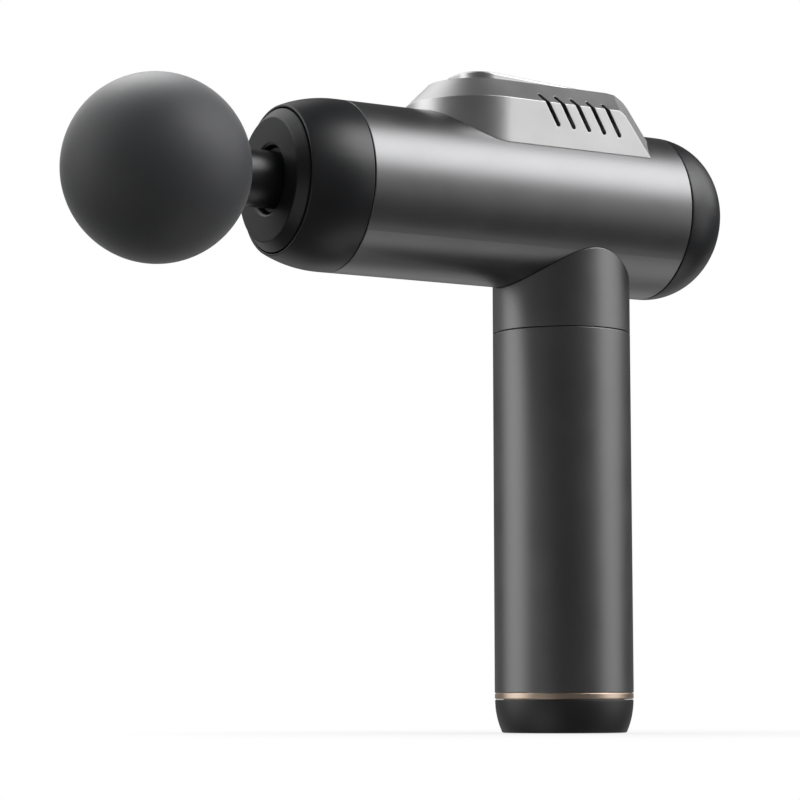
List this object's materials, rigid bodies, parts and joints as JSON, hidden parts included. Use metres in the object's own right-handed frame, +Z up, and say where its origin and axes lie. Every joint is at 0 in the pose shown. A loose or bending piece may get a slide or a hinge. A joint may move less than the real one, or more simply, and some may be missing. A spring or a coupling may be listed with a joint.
{
  "type": "massage gun",
  "caption": "Cordless percussion massager with a barrel on a round battery handle, a ball head on a crank-driven plunger and a control pod on top.",
  "frame": {"origin": "centre of the flat foot under the handle", "axes": "+Z up along the handle, -X towards the massage head along the barrel, +Y to the right of a user who looks along -X"},
  "size_m": [0.2426, 0.061, 0.2222],
  "materials": {
    "barrel_metal": "gunmetal anodised, satin",
    "handle_metal": "gunmetal anodised, satin",
    "pod_metal": "silver-grey anodised, satin",
    "satin_black": "black, satin moulded",
    "matt_black": "black, matt moulded",
    "nose_grey": "dark grey, matt moulded",
    "ball_foam": "charcoal closed-cell foam, fine matt skin",
    "core_black": "black, satin",
    "accent": "champagne rose gold, brushed",
    "rubber_black": "black, matt",
    "bearing_bronze": "sintered bronze",
    "bushing_polymer": "ivory bearing polymer",
    "frame_plastic": "dark grey glass-filled nylon",
    "steel": "machined steel",
    "motor_alloy": "cast aluminium",
    "plunger_black": "black hard anodised",
    "copper_coils": "enamelled copper wire",
    "magnet_metal": "nickel-plated magnet",
    "gloss_black": "smoked gloss window",
    "button_black": "black, satin moulded",
    "light_white": "white diffuser",
    "board_green": "green solder mask",
    "chip_black": "black epoxy",
    "cell_wrap": "blue shrink wrap over a steel can, weighted as the whole cell",
    "wire_red": "red silicone insulation",
    "wire_yellow": "yellow silicone insulation"
  },
  "bodies": {
    "housing": {"barrel_shell": "barrel_metal", "front_cap": "satin_black", "nose_ring": "nose_grey", "dust_seal": "rubber_black", "rear_cap": "satin_black", "plunger_bushing": "bushing_polymer", "front_bulkhead": "frame_plastic", "bulkhead_screws": "steel", "chassis_cradle": "frame_plastic", "damping_rings": "rubber_black", "motor_mount": "motor_alloy", "motor_mount_screws": "steel", "motor_stator": "motor_alloy", "stator_coils": "copper_coils", "motor_bearings": "steel", "control_pod": "pod_metal", "control_panel": "pod_metal", "display_window": "gloss_black", "level_lights": "light_white", "main_board": "board_green", "tact_switches": "chip_black", "board_chips": "chip_black", "pod_screws": "steel", "handle_collar": "handle_metal", "handle_sleeve": "handle_metal", "accent_ring": "accent", "base_cap": "matt_black", "base_foot": "rubber_black", "base_screws": "steel", "charge_port": "steel", "charge_tongue": "chip_black", "battery_cells": "cell_wrap", "cell_holders": "frame_plastic", "cell_links": "steel", "battery_board": "board_green", "pack_base": "frame_plastic", "battery_wires": "wire_red", "motor_wires": "wire_yellow"},
    "crank": {"motor_bell": "magnet_metal", "rotor_magnets": "magnet_metal", "motor_shaft": "steel", "crank_wheel": "steel", "counterweight": "bearing_bronze", "crank_pin": "steel", "crank_grub_screw": "steel"},
    "plunger": {"plunger": "plunger_black", "wrist_pin": "steel", "socket_retaining_ring": "rubber_black"},
    "rod": {"connecting_rod": "steel", "big_end_bearing": "steel", "crank_bolt": "steel", "small_end_bush": "bearing_bronze"},
    "head": {"ball_head": "ball_foam", "head_core": "core_black", "stem_o_rings": "rubber_black"},
    "power_button": {"power_button": "button_black"},
    "plus_button": {"plus_button": "button_black"},
    "minus_button": {"minus_button": "button_black"}
  },
  "joints": [
    {"name": "crank_spin", "type": "hinge", "parent": "housing", "child": "crank", "pos_m": [0, 0, 0.179], "axis": [0, 0, 1], "continuous": true},
    {"name": "plunger_stroke", "type": "slide", "parent": "housing", "child": "plunger", "axis": [1, 0, 0], "range_m": [0, 0.01]},
    {"name": "rod_swing", "type": "hinge", "parent": "plunger", "child": "rod", "pos_m": [-0.046, 0, 0.179], "axis": [0, 0, 1], "range_deg": [-7, 7]},
    {"name": "head_release", "type": "slide", "parent": "plunger", "child": "head", "axis": [-1, 0, 0], "range_m": [0, 0.03]},
    {"name": "power_press", "type": "slide", "parent": "housing", "child": "power_button", "axis": [-0.0576, 0, -0.9983], "range_m": [0, 0.0006]},
    {"name": "plus_press", "type": "slide", "parent": "housing", "child": "plus_button", "axis": [-0.0576, 0, -0.9983], "range_m": [0, 0.0006]},
    {"name": "minus_press", "type": "slide", "parent": "housing", "child": "minus_button", "axis": [-0.0576, 0, -0.9983], "range_m": [0, 0.0006]}
  ]
}
